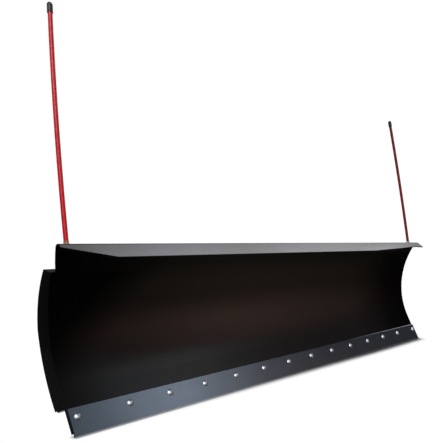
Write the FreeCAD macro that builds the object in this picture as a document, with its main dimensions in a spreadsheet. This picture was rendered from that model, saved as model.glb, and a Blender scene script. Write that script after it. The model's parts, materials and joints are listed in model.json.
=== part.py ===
import FreeCAD, Part
import Sketcher
import math
import os

# Snow plow blade for an all-terrain vehicle, about 72 in long.
# Final frame: +X along the blade, -Y is the front (the side that pushes snow), +Z up.
# Left is -X, as seen from the front.
# Origin: the middle of the kingpin bore, where the vehicle's push tube holds the blade.
# Pieces are drawn with Z = 0 on the ground and Y = 0 at the front bottom edge of the
# wear bar; a last move carries them all to the kingpin. Profile points are (Y, Z).

os.makedirs("parts", exist_ok=True)
Vector = FreeCAD.Vector
doc = FreeCAD.newDocument("plow_blade")
sheet = doc.addObject("Spreadsheet::Sheet", "Dims")
dims = {}
exports = []
SIDES = (("left", -1), ("right", 1))
X_AXIS, Y_AXIS, Z_AXIS = (1, 0, 0), (0, 1, 0), (0, 0, 1)


# ---------------------------------------------------------------- sheet and sketch helpers
def dim(alias, value):
    """Hold a driving dimension in the sheet once; the first value given is kept."""
    if alias not in dims:
        row = len(dims) + 1
        sheet.set("A%d" % row, alias)
        sheet.set("B%d" % row, "%.5f" % value)
        sheet.setAlias("B%d" % row, alias)
        dims[alias] = float("%.5f" % value)
    return dims[alias]


def bind(obj, prop, alias):
    obj.setExpression(prop, "Dims." + alias)


def add_bound(sketch, alias, *constraint):
    """Add a dimensional constraint that is named after its alias and bound to it."""
    index = sketch.addConstraint(Sketcher.Constraint(*constraint))
    sketch.renameConstraint(index, alias)
    bind(sketch, "Constraints." + alias, alias)


def tie(sketch, geo, pos, point, tag):
    """Place one sketch point by two dimensions held in the sheet."""
    for axis, value, kind, line in (("x", point[0], "DistanceX", -2),
                                    ("y", point[1], "DistanceY", -1)):
        if abs(value) < 1e-4:
            sketch.addConstraint(Sketcher.Constraint("PointOnObject", geo, pos, line))
            continue
        alias = tag + axis
        size = dim(alias, abs(value))
        if value > 0:
            add_bound(sketch, alias, kind, -1, 1, geo, pos, size)
        else:
            add_bound(sketch, alias, kind, geo, pos, -1, 1, size)


def add_arc(sketch, start, end, centre, alias):
    """Add the shorter arc; return its index and its start and end vertex numbers."""
    radius = (start - centre).Length
    start_angle = math.atan2(start.y - centre.y, start.x - centre.x)
    end_angle = math.atan2(end.y - centre.y, end.x - centre.x)
    turns_left = ((end_angle - start_angle) % (2 * math.pi)) < math.pi
    low, high = (start_angle, end_angle) if turns_left else (end_angle, start_angle)
    while high < low:
        high += 2 * math.pi
    circle = Part.Circle(centre, Vector(0, 0, 1), radius)
    geo = sketch.addGeometry(Part.ArcOfCircle(circle, low, high), False)
    add_bound(sketch, alias, "Radius", geo, dim(alias, radius))
    return (geo, 1, 2) if turns_left else (geo, 2, 1)


def loop(sketch, points, arcs, tag):
    """A closed outline of lines; arcs maps a side's number to its arc centre."""
    count = len(points)
    ends = []
    for i in range(count):
        start = Vector(*points[i], 0)
        end = Vector(*points[(i + 1) % count], 0)
        if i in arcs:
            ends.append(add_arc(sketch, start, end, Vector(*arcs[i], 0), "%s%drad" % (tag, i)))
        else:
            ends.append((sketch.addGeometry(Part.LineSegment(start, end), False), 1, 2))
    for i in range(count):
        geo, _, last = ends[i]
        next_geo, next_first, _ = ends[(i + 1) % count]
        sketch.addConstraint(Sketcher.Constraint("Coincident", geo, last, next_geo, next_first))
    for i in range(count):
        geo, first, _ = ends[i]
        tie(sketch, geo, first, points[i], "%s%d" % (tag, i))


def ring(sketch, centre, radius, tag):
    circle = Part.Circle(Vector(*centre, 0), Vector(0, 0, 1), radius)
    geo = sketch.addGeometry(circle, False)
    add_bound(sketch, tag + "rad", "Radius", geo, dim(tag + "rad", radius))
    tie(sketch, geo, 3, centre, tag)


def new_sketch(body, name, plane, offset):
    """A sketch on one of the body's base planes, moved along its normal."""
    sketch = body.newObject("Sketcher::SketchObject", name)
    base = next(f for f in body.Origin.OriginFeatures if f.Role == plane)
    sketch.AttachmentSupport = [(base, "")]
    sketch.MapMode = "FlatFace"
    dim(name + "_at", offset)
    sketch.AttachmentOffset = FreeCAD.Placement(Vector(0, 0, offset), FreeCAD.Rotation())
    bind(sketch, "AttachmentOffset.Base.z", name + "_at")
    return sketch


def extrude(body, kind, name, sketch, length, alias):
    """A PartDesign Pad or Pocket whose length is held in the sheet."""
    item = body.newObject("PartDesign::" + kind, name)
    item.Profile = sketch
    dim(alias, length)
    item.Length = length
    bind(item, "Length", alias)


def plate(label, plane, start, thick, points, arcs, tag, holes=()):
    """A padded outline with round holes; plates of one tag share their sizes."""
    body = doc.addObject("PartDesign::Body", "body_" + label)
    sketch = new_sketch(body, "outline_" + label, plane, start)
    loop(sketch, points, arcs, tag + "_p")
    for i, (centre, radius) in enumerate(holes):
        ring(sketch, centre, radius, "%s_h%d" % (tag, i))
    extrude(body, "Pad", "pad_" + label, sketch, thick, tag + "_thick")
    return body


# ---------------------------------------------------------------- document object helpers
def keep(obj, label):
    """Mark an object as a finished piece."""
    obj.Label = label
    exports.append(obj)


def cyl(name, radius, length, base, axis, tag=None):
    tag = tag or name
    item = doc.addObject("Part::Cylinder", name)
    dim(tag + "_rad", radius)
    dim(tag + "_len", length)
    bind(item, "Radius", tag + "_rad")
    bind(item, "Height", tag + "_len")
    rotation = FreeCAD.Rotation(Vector(0, 0, 1), Vector(*axis))
    item.Placement = FreeCAD.Placement(Vector(*base), rotation)
    return item


def cut(name, base, tool):
    item = doc.addObject("Part::Cut", name)
    item.Base = base
    item.Tool = tool
    return item


def feature(name, shape):
    item = doc.addObject("Part::Feature", name)
    item.Shape = shape
    return item


def keep_shape(label, shape):
    """Keep a shape, or a list of shapes as one compound, as a finished piece."""
    if isinstance(shape, list):
        shape = Part.makeCompound(shape)
    keep(feature(label + "_f", shape), label)


# ---------------------------------------------------------------- shape helpers
def place(shape, base, zdir, xdir=None):
    """A copy of a shape drawn about Z, moved so that Z lies on zdir."""
    z = Vector(*zdir).normalize()
    if xdir is None:
        rotation = FreeCAD.Rotation(Vector(0, 0, 1), z)
    else:
        rotation = FreeCAD.Rotation(Vector(*xdir), Vector(0, 0, 0), z, "ZXY")
    moved = shape.copy()
    moved.Placement = FreeCAD.Placement(Vector(*base), rotation).multiply(moved.Placement)
    return moved


def hexagon(flats, height):
    radius = flats / math.sqrt(3.0)
    angles = [math.radians(60 * k) for k in range(7)]
    points = [Vector(radius * math.cos(a), radius * math.sin(a), 0) for a in angles]
    return Part.Face(Part.makePolygon(points)).extrude(Vector(0, 0, height))


def hex_nut(flats, height, corner_sphere, bore):
    """A plain nut; the sphere about its middle rounds off the corners."""
    return hexagon(flats, height).common(
        Part.makeSphere(corner_sphere, Vector(0, 0, height / 2))).cut(
        Part.makeCylinder(bore, 20, Vector(0, 0, -2)))


def washer(outer, thick, bore):
    return Part.makeCylinder(outer, thick).cut(
        Part.makeCylinder(bore, thick + 4, Vector(0, 0, -2)))


def end_chamfer_tool(radius, chamfer, end):
    """What to cut from a shank along Z that ends at the given height."""
    start = Vector(0, 0, end - chamfer)
    return Part.makeCylinder(radius + 1, chamfer + 1.2, start).cut(
        Part.makeCone(radius, radius - chamfer, chamfer, start))


# ---------------------------------------------------------------- plane geometry helpers
def step(point, direction, distance):
    return (point[0] + distance * direction[0], point[1] + distance * direction[1])


def circle_centre(first, second, third):
    """Centre of the circle through three points."""
    ax, ay = first
    bx, by = second
    cx, cy = third
    a_sq, b_sq, c_sq = ax * ax + ay * ay, bx * bx + by * by, cx * cx + cy * cy
    scale = 2 * (ax * (by - cy) + bx * (cy - ay) + cx * (ay - by))
    return ((a_sq * (by - cy) + b_sq * (cy - ay) + c_sq * (ay - by)) / scale,
            (a_sq * (cx - bx) + b_sq * (ax - cx) + c_sq * (bx - ax)) / scale)


def meet(point_a, dir_a, point_b, dir_b):
    """Where two lines meet."""
    det = dir_b[0] * dir_a[1] - dir_a[0] * dir_b[1]
    dx, dy = point_b[0] - point_a[0], point_b[1] - point_a[1]
    return step(point_a, dir_a, (dir_b[0] * dy - dx * dir_b[1]) / det)


# ---------------------------------------------------------------- main sizes
half = dim("half_length", 914.5)
rake = math.radians(dim("rake_deg", 28.3))
bar_tall = dim("bar_tall", 72.0)
bar_thick = dim("bar_thick", 6.35)
sheet_thick = dim("sheet_thick", 3.0)
arc_front = dim("arc_front_radius", 335.2)
arc_start = dim("arc_start_up", 118.4)
bolt_up = dim("bolt_line_up", 47.0)
bolt_space = dim("bolt_spacing", 134.06)
bolt_end = dim("bolt_end_from_middle", 890.5)
leg_thick = dim("angle_leg_thick", 5.0)
leg_out = dim("angle_leg_out", 60.0)
angle_top = dim("angle_top_up", 80.0)
hinge_y = dim("hinge_back", 125.0)
hinge_z = dim("hinge_up", 115.0)
hinge = (hinge_y, hinge_z)

rake_sin, rake_cos = math.sin(rake), math.cos(rake)
bar_front_up = bar_thick * rake_sin
back_dir = (0.0, rake_cos, -rake_sin)


def bar_point(up, behind):
    """A point up the front face of the wear bar and behind it."""
    return (up * rake_sin + behind * rake_cos,
            bar_front_up + up * rake_cos - behind * rake_sin)


arc_foot = bar_point(arc_start, bar_thick)
arc_centre = (arc_foot[0] - arc_front * rake_cos, arc_foot[1] + arc_front * rake_sin)
bolt_x = [-bolt_end] + [(-5.5 + i) * bolt_space for i in range(12)] + [bolt_end]


def on_arc(radius, z):
    """A point on a circle about the moldboard's arc centre at height z."""
    return (arc_centre[0] + math.sqrt(radius ** 2 - (z - arc_centre[1]) ** 2), z)


# ---------------------------------------------------------------- moldboard
board_low = dim("board_low_up", 9.0)
bend_in = dim("bend_inner_radius", 10.0)
bend_up = dim("bend_centre_up", 444.2)
lip_drop = math.radians(dim("lip_drop_deg", 35.3))
lip_deep = dim("lip_depth", 49.47)

board_back = bar_thick + sheet_thick
bend_out = bend_in + sheet_thick
bend_arc = arc_front - bend_in
bend_centre = on_arc(bend_arc, bend_up)
bend_radial = ((bend_centre[0] - arc_centre[0]) / bend_arc,
               (bend_centre[1] - arc_centre[1]) / bend_arc)
lip_dir = (-math.cos(lip_drop), -math.sin(lip_drop))
lip_normal = (-math.sin(lip_drop), math.cos(lip_drop))
lip_under = step(bend_centre, lip_normal, bend_in)
lip_over = step(bend_centre, lip_normal, bend_out)
board_points = [
    bar_point(board_low, bar_thick),
    arc_foot,
    step(bend_centre, bend_radial, bend_in),
    lip_under,
    step(lip_under, lip_dir, lip_deep),
    step(lip_over, lip_dir, lip_deep),
    lip_over,
    step(bend_centre, bend_radial, bend_out),
    bar_point(arc_start, board_back),
    bar_point(board_low, board_back),
]
board = plate("moldboard_sheet", "YZ_Plane", -half, 2 * half, board_points,
              {1: arc_centre, 2: bend_centre, 6: bend_centre, 7: arc_centre}, "board")


def lip_y(depth):
    """Y on the lip's upper face, at a depth from the bend."""
    return step(lip_over, lip_dir, depth)[0]


# The lip is cut back almost to the bend at the left end, and part of the way at the right.
# Outlines are (X, Y) seen from above.
trim_front = -40.0
trim_end = half + 2
full_lip = lip_y(lip_deep) - 0.3
trims = (
    ("left", [(-trim_end, lip_y(8.0)), (-781.0, full_lip),
              (-781.0, trim_front), (-trim_end, trim_front)]),
    ("right", [(440.0, full_lip), (700.0, lip_y(36.0)), (838.0, lip_y(25.6)),
               (trim_end, lip_y(29.8)), (trim_end, trim_front), (440.0, trim_front)]),
)
for side, points in trims:
    trim = new_sketch(board, "lip_trim_" + side, "XY_Plane", 475.0)
    loop(trim, points, {}, "trim_" + side)
    extrude(board, "Pocket", "lip_pocket_" + side, trim, 80.0, "trim_deep")

# notch in the left end, beside the top of the arc
relief_in = dim("corner_relief_in", 11.5)
relief_low = dim("corner_relief_low", 390.2)
relief_knee = dim("corner_relief_knee", 396.0)
relief_top = dim("corner_relief_top", 451.0)
relief_outline = [(-half, relief_top), (-half + relief_in, relief_knee),
                  (-half + relief_in, relief_low), (-half - 3, relief_low),
                  (-half - 3, relief_top), (-half, relief_top)]
relief = Part.Face(Part.makePolygon([Vector(x, -60, z) for x, z in relief_outline]))
board_relief = feature("board_corner_relief", relief.extrude(Vector(0, 200, 0)))

# hole tools along the bolt line: round for the sheet and angle, square for the wear bar
hole_rad = dim("bolt_hole_radius", 4.5)
square = dim("square_hole_side", 8.3)
round_tool = Part.makeCylinder(hole_rad, 40.0)
square_tool = Part.makeBox(square, square, 40.0, Vector(-square / 2, -square / 2, 0))
tool_bases = [(x,) + bar_point(bolt_up, -8.0) for x in bolt_x]
round_holes = feature("round_hole_tools", Part.makeCompound(
    [place(round_tool, base, back_dir) for base in tool_bases]))
square_holes = feature("square_hole_tools", Part.makeCompound(
    [place(square_tool, base, back_dir, X_AXIS) for base in tool_bases]))
relieved = cut("moldboard_relieved", board, board_relief)
keep(cut("moldboard_cut", relieved, round_holes), "moldboard")

# ---------------------------------------------------------------- wear bar
bar_half = dim("wear_bar_half_length", 910.5)
bar_cham = dim("wear_bar_top_chamfer", 2.2)
bar_points = [bar_point(0, 0), bar_point(bar_tall - bar_cham, 0),
              bar_point(bar_tall, bar_cham), bar_point(bar_tall, bar_thick),
              bar_point(0, bar_thick)]
bar = plate("wear_bar_stock", "YZ_Plane", -bar_half, 2 * bar_half, bar_points, {}, "wearbar")
keep(cut("wear_bar_cut", bar, square_holes), "wear_bar")

# ---------------------------------------------------------------- wear bar bolts
head_rad = dim("dome_radius", 9.5)
head_tall = dim("dome_height", 4.8)
neck = dim("neck_side", 8.0)
neck_deep = dim("neck_depth", 4.6)
shank = dim("shank_radius", 3.98)
shank_end = dim("shank_end_behind_face", 29.0)
dome_sphere = (head_rad ** 2 + head_tall ** 2) / (2 * head_tall)
dome = Part.makeSphere(dome_sphere, Vector(0, 0, dome_sphere - head_tall)).common(
    Part.makeCylinder(head_rad, head_tall, Vector(0, 0, -head_tall)))
bolt = dome.fuse([Part.makeBox(neck, neck, neck_deep, Vector(-neck / 2, -neck / 2, 0)),
                  Part.makeCylinder(shank, shank_end)]).removeSplitter()
bolt = bolt.cut(end_chamfer_tool(shank, 0.8, shank_end))
keep_shape("wear_bar_bolts", [
    place(bolt, (x,) + bar_point(bolt_up, -0.01), back_dir, X_AXIS) for x in bolt_x])

# ---------------------------------------------------------------- wear bar flange nuts
nut_flats = dim("flange_nut_flats", 13.0)
nut_tall = dim("flange_nut_height", 8.0)
flange_rad = dim("flange_nut_flange_radius", 8.8)
nut_bore = dim("flange_nut_bore_radius", 4.05)
nut_behind = board_back + leg_thick + 0.1
nut_envelope = Part.makeCone(9.6, 6.9, nut_tall).fuse(Part.makeCylinder(7.6, nut_tall - 1.0))
flange_nut = hexagon(nut_flats, nut_tall).common(nut_envelope).fuse(
    Part.makeCylinder(flange_rad, 1.6)).cut(
    Part.makeCylinder(nut_bore, nut_tall + 2, Vector(0, 0, -1)))
keep_shape("wear_bar_nuts", [
    place(flange_nut, (x,) + bar_point(bolt_up, nut_behind), back_dir, X_AXIS)
    for x in bolt_x])

# ---------------------------------------------------------------- bottom angle
angle_half = dim("angle_half_length", 909.0)
angle_low = dim("angle_low_up", 25.0)
angle_front = board_back + 0.05
angle_inner = angle_front + leg_thick
angle_points = [bar_point(angle_low, angle_front), bar_point(angle_top, angle_front),
                bar_point(angle_top, leg_out), bar_point(angle_top - leg_thick, leg_out),
                bar_point(angle_top - leg_thick, angle_inner),
                bar_point(angle_low, angle_inner)]
angle = plate("bottom_angle_stock", "YZ_Plane", -angle_half, 2 * angle_half,
              angle_points, {}, "angle")
keep(cut("bottom_angle_cut", angle, round_holes), "bottom_angle")

# ---------------------------------------------------------------- end ribs
rib_arc = arc_front + sheet_thick + 0.1
rib_front = board_back + 0.1
rib_thick = dim("rib_thick", 4.0)
rib_arc_start = bar_point(arc_start, rib_front)
top_front = on_arc(rib_arc, 390.5)
# rear edge: one arc from the top to the middle, another down to the foot
rear_top, rear_upper, rear_mid, rear_lower = (
    (114.4, 396.0), (150.0, 325.0), (163.0, 240.0), (147.0, 163.5))
end_foot = (91.0, 44.0)
upper_centre = circle_centre(rear_top, rear_upper, rear_mid)

end_points = [bar_point(70.4, rib_front), rib_arc_start, top_front, rear_top, rear_mid,
              end_foot]
end_arcs = {1: arc_centre, 3: upper_centre,
            4: circle_centre(rear_mid, rear_lower, end_foot)}
flange_wide = dim("end_rib_flange_width", 40.0)
flange_lap = 0.5
top_slope = (rear_top[1] - top_front[1]) / (rear_top[0] - top_front[0])
flange_front = step(top_front, (1, top_slope), 0.6)
flange_points = [flange_front, rear_top, (rear_top[0] + 2.0, rear_top[1] - 4.0),
                 (flange_front[0] + 2.3, flange_front[1] - 4.0)]
for side, sign in SIDES:
    start = -half if sign < 0 else half - rib_thick
    rib = plate(side + "_end_rib", "YZ_Plane", start, rib_thick, end_points, end_arcs,
                "end_rib")
    # flange along the top edge, turned toward the middle of the blade
    if sign < 0:
        flange_start = start + rib_thick - flange_lap
    else:
        flange_start = start + flange_lap - flange_wide
    outline = new_sketch(rib, "flange_outline_" + side, "YZ_Plane", flange_start)
    loop(outline, flange_points, {}, "end_flange")
    extrude(rib, "Pad", "flange_" + side, outline, flange_wide, "end_rib_flange_width")
    keep(rib, side + "_end_rib")

# ---------------------------------------------------------------- outer and shoe ribs
rib_foot_front = bar_point(angle_top + 0.3, rib_front)
rib_foot_back = bar_point(angle_top + 0.3, leg_out)
inner_points = [rib_foot_front, rib_arc_start, top_front, rear_top, rear_mid, rib_foot_back]
inner_arcs = {1: arc_centre, 3: upper_centre,
              4: circle_centre(rear_mid, rear_lower, rib_foot_back)}
for name, from_middle in (("outer", dim("outer_rib_from_middle", 650.0)),
                          ("shoe", dim("shoe_rib_from_middle", 400.0))):
    for side, sign in SIDES:
        label = "%s_%s_rib" % (side, name)
        keep(plate(label, "YZ_Plane", sign * from_middle - rib_thick / 2, rib_thick,
                   inner_points, inner_arcs, "inner_rib"), label)

# ---------------------------------------------------------------- hinge ribs
hinge_rib_thick = dim("hinge_rib_thick", 6.0)
rib_hole = dim("rib_hole_radius", 8.2)
rib_back = dim("hinge_rib_back", 165.0)
rib_knee = dim("hinge_rib_knee_up", 250.0)
boss_rad = dim("hinge_rib_boss_radius", 38.6)
boss_end = math.radians(-75)
slant_y, slant_z = -0.451, 0.8925
slant_size = math.hypot(slant_y, slant_z)
slant = (slant_y / slant_size, slant_z / slant_size)
slant_out = (slant[1], -slant[0])
slant_axis = (0.0, slant[0], slant[1])


def slant_point(along, behind=0.0):
    """A point up the slanted rear edge of a hinge rib from its knee, and behind it."""
    return step(step((rib_back, rib_knee), slant, along), slant_out, behind)


hinge_rib_points = [
    rib_foot_front, rib_arc_start, on_arc(rib_arc, 383.0),
    slant_point(140.0), slant_point(0.0), (rib_back, hinge_z + 14.0),
    (hinge_y + boss_rad, hinge_z),
    step(hinge, (math.cos(boss_end), math.sin(boss_end)), boss_rad),
    rib_foot_back,
]
for name, from_middle in (("outer", dim("hinge_rib_outer_from_middle", 205.0)),
                          ("inner", dim("hinge_rib_inner_from_middle", 165.0))):
    for side, sign in SIDES:
        label = "%s_hinge_rib_%s" % (side, name)
        keep(plate(label, "YZ_Plane", sign * from_middle - hinge_rib_thick / 2,
                   hinge_rib_thick, hinge_rib_points, {1: arc_centre, 6: hinge},
                   "hinge_rib", holes=[(hinge, rib_hole)]), label)

# ---------------------------------------------------------------- spring bar
spring_bar_long = dim("spring_bar_long", 470.0)
eye_off = dim("eyebolt_from_edge", 28.0)
spring_x = dim("spring_from_middle", 95.0)
spring_bar_points = [
    slant_point(60, 0.2), slant_point(100, 0.2), slant_point(100, 46),
    slant_point(95, 46), slant_point(95, 5.2), slant_point(60, 5.2),
]
spring_bar = plate("spring_bar_stock", "YZ_Plane", -spring_bar_long / 2, spring_bar_long,
                   spring_bar_points, {}, "springbar")
eye_holes = feature("spring_bar_hole_tools", Part.makeCompound(
    [place(Part.makeCylinder(5.5, 30), (x,) + slant_point(85, eye_off), slant_axis)
     for x in (-spring_x, spring_x)]))
keep(cut("spring_bar_cut", spring_bar, eye_holes), "spring_bar")

# ---------------------------------------------------------------- eyebolts
eye_major = dim("eye_major_radius", 13.0)
eye_minor = dim("eye_wire_radius", 4.5)
eye_along = dim("eye_centre_along_slant", 46.0)
eye_shank = dim("eyebolt_shank_radius", 4.9)
eye_shank_long = dim("eyebolt_shank_long", 86.0)
eyebolt = Part.makeTorus(eye_major, eye_minor, Vector(0, 0, 0), Vector(1, 0, 0)).fuse(
    Part.makeCylinder(eye_shank, eye_shank_long, Vector(0, 0, eye_major))).removeSplitter()
eyebolt = eyebolt.cut(end_chamfer_tool(eye_shank, 1.0, eye_major + eye_shank_long))


def on_eyebolts(shape, stations):
    """Copies on both eyebolts, at stations along the slant."""
    return [place(shape, (x,) + slant_point(along, eye_off), slant_axis, X_AXIS)
            for x in (-spring_x, spring_x) for along in stations]


for (side, _), moved in zip(SIDES, on_eyebolts(eyebolt, [eye_along])):
    keep_shape(side + "_eyebolt", moved)
m10_flats = dim("eyebolt_nut_flats", 16.0)
eye_nut = hex_nut(m10_flats, dim("eyebolt_nut_height", 8.0), 11.2, eye_shank + 0.06)
eye_washer = washer(10.5, 2.0, eye_shank + 0.3)
keep_shape("eyebolt_nuts", on_eyebolts(eye_nut, (102.1, 110.2, 84.9)))
keep_shape("eyebolt_washers", on_eyebolts(eye_washer, (100.05, 92.95)))

# ---------------------------------------------------------------- trip springs
wire = dim("spring_wire_radius", 2.5)
coil = dim("spring_coil_radius", 14.5)
hook_gap = 0.25
anchor_along = dim("spring_anchor_down_line", -120.0)
anchor = slant_point(anchor_along, eye_off)
anchor_rad = dim("anchor_bolt_radius", 4.9)
hook_leg = dim("spring_hook_leg", 8.0)
hook_top = eye_along - (eye_major - eye_minor - wire - hook_gap)
coil_high = hook_top - coil - hook_leg
coil_low = anchor_along - anchor_rad - wire - hook_gap + coil + hook_leg
coil_turns = dim("spring_turns", 20.0)
pitch = (coil_high - coil_low) / coil_turns


def hook(z, turn, up):
    """Half loop on two short legs, standing on an end of the coil."""
    origin, x_dir, z_dir = Vector(0, 0, 0), Vector(1, 0, 0), Vector(0, 0, 1)
    arch = Part.makeTorus(coil, wire, origin, z_dir, 0, 360, 180)
    arch.rotate(origin, x_dir, 90)
    arch.translate(Vector(0, 0, hook_leg))
    legs = [Part.makeCylinder(wire, hook_leg, Vector(x, 0, 0)) for x in (-coil, coil)]
    whole = arch.fuse(legs).removeSplitter()
    if not up:
        whole.rotate(origin, x_dir, 180)
    whole.rotate(origin, z_dir, turn)
    whole.translate(Vector(0, 0, z))
    return whole


helix = Part.makeHelix(pitch, coil_high - coil_low, coil)
helix.translate(Vector(0, 0, coil_low))
wire_dir = Vector(0, 1, pitch / (2 * math.pi * coil))
section = Part.Wire([Part.Circle(Vector(coil, 0, coil_low), wire_dir, wire).toShape()])
coil_body = Part.Wire(helix.Edges).makePipeShell([section], True, True)
spring = coil_body.fuse([hook(coil_low, 90, False), hook(coil_high, 0, True)])
for (side, _), moved in zip(SIDES, on_eyebolts(spring, [0.0])):
    keep_shape(side + "_spring", moved)

# ---------------------------------------------------------------- frame ears and bushings
deck_z = dim("ear_top_up", 117.8)
ear_low = dim("ear_low_up", 88.0)
ear_rad = dim("ear_round_radius", 27.0)
ear_end = dim("ear_end_back", 234.0)
ear_x = dim("ear_from_middle", 185.0)
ear_thick = dim("ear_thick", 8.0)
pin_rad = dim("hinge_pin_radius", 7.9)
bush_out = dim("bushing_outer_radius", 12.5)
bush_long = dim("bushing_long", 33.0)
ear_points = [(hinge_y, hinge_z - ear_rad), (ear_end, ear_low), (ear_end, deck_z),
              (hinge_y + 22.0, deck_z), (hinge_y, hinge_z + ear_rad),
              (hinge_y - ear_rad, hinge_z)]
for side, sign in SIDES:
    keep(plate(side + "_frame_ear", "YZ_Plane", sign * ear_x - ear_thick / 2, ear_thick,
               ear_points, {4: hinge, 5: hinge}, "ear",
               holes=[(hinge, bush_out + 0.02)]), side + "_frame_ear")
    bush_start = sign * ear_x - bush_long / 2
    outer = cyl(side + "_bush_out", bush_out, bush_long, (bush_start,) + hinge, X_AXIS,
                "bush_out")
    bore = cyl(side + "_bush_in", pin_rad + 0.08, 40.0, (bush_start - 3,) + hinge, X_AXIS,
               "bush_in")
    keep(cut(side + "_bushing_cut", outer, bore), side + "_hinge_bushing")

# ---------------------------------------------------------------- frame cross tube
tube_y = dim("tube_front_back", 165.6)
tube_side = dim("tube_side", 40.0)
tube_wall = dim("tube_wall", 4.0)
tube_long = dim("tube_long", 440.0)
tube_z = deck_z + 0.1
tube_outer = doc.addObject("Part::Box", "tube_outer")
tube_inner = doc.addObject("Part::Box", "tube_inner")
for prop in ("Width", "Height"):
    bind(tube_outer, prop, "tube_side")
    bind(tube_inner, prop, "tube_side - 2 * Dims.tube_wall")
bind(tube_outer, "Length", "tube_long")
bind(tube_inner, "Length", "tube_long + 20")
tube_outer.Placement.Base = Vector(-tube_long / 2, tube_y, tube_z)
tube_inner.Placement.Base = Vector(-tube_long / 2 - 10, tube_y + tube_wall,
                                   tube_z + tube_wall)
keep(cut("frame_cross_tube_cut", tube_outer, tube_inner), "frame_cross_tube")

# ---------------------------------------------------------------- frame plates, outlines (X, Y)
king_y = dim("kingpin_back", 262.0)
king_rad = dim("kingpin_bore_radius", 9.8)
index_rad = dim("index_hole_radius", 6.6)
index_arc = dim("index_hole_arc_radius", 72.0)
plate_half = dim("frame_plate_half_width", 192.0)
frame_plate_thick = dim("frame_plate_thick", 6.0)
king = (0.0, king_y)


def about_king(radius, degrees):
    """A point about the kingpin; the angle is from +Y toward +X."""
    angle = math.radians(degrees)
    return (radius * math.sin(angle), king_y + radius * math.cos(angle))


top_front_y = tube_y + tube_side + 0.2
top_arc = index_arc + 16.0
top_arc_end = 62
top_points = [(-plate_half, top_front_y), (plate_half, top_front_y),
              (plate_half, top_front_y + 30), about_king(top_arc, top_arc_end),
              (0.0, king_y + top_arc), about_king(top_arc, -top_arc_end),
              (-plate_half, top_front_y + 30)]
index_holes = [(about_king(index_arc, a), index_rad) for a in (-50, -25, 0, 25, 50)]
keep(plate("frame_top_plate", "XY_Plane", deck_z + 0.1, frame_plate_thick, top_points,
           {3: king, 4: king}, "topplate", holes=[(king, king_rad)] + index_holes),
     "frame_top_plate")

bottom_points = [(-plate_half, 172.0), (plate_half, 172.0), (plate_half, 232.0),
                 (60.0, 300.0), (-60.0, 300.0), (-plate_half, 232.0)]
keep(plate("frame_bottom_plate", "XY_Plane", ear_low - frame_plate_thick - 0.1,
           frame_plate_thick, bottom_points, {}, "botplate", holes=[(king, king_rad)]),
     "frame_bottom_plate")

# ---------------------------------------------------------------- kingpin sleeve
outer = cyl("king_outer", 17.0, deck_z - ear_low - 0.02, king + (ear_low - 0.05,), Z_AXIS)
bore = cyl("king_inner", king_rad, 60.0, king + (ear_low - 10,), Z_AXIS)
keep(cut("kingpin_sleeve_cut", outer, bore), "kingpin_sleeve")

# ------------------------------------------- spring clevises on the top plate, and their bolts
# drawn about the anchor bolt's axis, which runs along X
cheek_in = dim("clevis_half_gap", 7.0)
cheek_thick = dim("clevis_cheek", 5.0)
cheek_out = cheek_in + cheek_thick
clevis_low = deck_z + 6.2 - anchor[1]
clevis = Part.makeBox(2 * cheek_out, 44.0, 5.0, Vector(-cheek_out, -22, clevis_low))
cheek_outline = [(-22, clevis_low), (22, clevis_low), (11, 8), (6, 11.5), (-6, 11.5),
                 (-11, 8), (-22, clevis_low)]
for x in (-cheek_out, cheek_in):
    cheek = Part.Face(Part.makePolygon([Vector(x, y, z) for y, z in cheek_outline]))
    clevis = clevis.fuse(cheek.extrude(Vector(cheek_thick, 0, 0)))
clevis = clevis.removeSplitter().cut(
    Part.makeCylinder(anchor_rad + 0.15, 60, Vector(-30, 0, 0), Vector(1, 0, 0)))

anchor_head = hexagon(m10_flats, 6.4).common(Part.makeSphere(13.5, Vector(0, 0, 8.0)))
anchor_bolt = Part.makeCylinder(
    anchor_rad, 44.0, Vector(-cheek_out - 0.5, 0, 0), Vector(1, 0, 0)).fuse(
    place(anchor_head, (-cheek_out - 6.5, 0, 0), X_AXIS))
anchor_nut = place(hex_nut(m10_flats, 9.0, 11.6, anchor_rad + 0.06),
                   (cheek_out + 0.1, 0, 0), X_AXIS)


def at_anchors(shape):
    """Copies moved to the left and right anchors."""
    return [shape.translated(Vector(sign * spring_x, *anchor)) for _, sign in SIDES]


for (side, _), moved in zip(SIDES, at_anchors(clevis)):
    keep_shape(side + "_spring_clevis", moved)
keep_shape("spring_anchor_bolts", at_anchors(anchor_bolt))
keep_shape("spring_anchor_nuts", at_anchors(anchor_nut))

# ---------------------------------------------------------------- hinge pins and cotters
pin_long = dim("hinge_pin_long", 74.0)
pin_start = dim("hinge_pin_head_from_middle", 158.0)
cotter_x = dim("cotter_from_middle", 220.0)
cotter_rad = dim("cotter_wire_radius", 1.6)


def hairpin(shaft):
    """R-shaped clip in the local XY plane; its straight leg lies on X through the origin."""
    wrap = shaft + cotter_rad + 0.5
    points = [
        (shaft + 9, 0), (shaft * 0.5, 0), (-shaft * 0.5, 0), (-shaft - 5, 0),
        (-shaft - 12, -0.3), (-shaft - 17, 2.8), (-shaft - 15.5, 7.5), (-shaft - 9.5, 8.6),
        (-shaft - 3.0, 7.2), (-wrap * 0.80, wrap * 0.86), (-wrap * 0.32, wrap * 1.06),
        (wrap * 0.32, wrap * 1.06), (wrap * 0.86, wrap * 0.80), (wrap * 1.15, wrap * 0.86),
        (wrap * 1.45, wrap * 1.2),
    ]
    points = [Vector(x, y, 0) for x, y in points]
    curve = Part.BSplineCurve()
    curve.interpolate(points)
    profile = Part.Wire([Part.Circle(points[0], Vector(1, 0, 0), cotter_rad).toShape()])
    return Part.Wire([curve.toShape()]).makePipeShell([profile], True, False)


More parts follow.
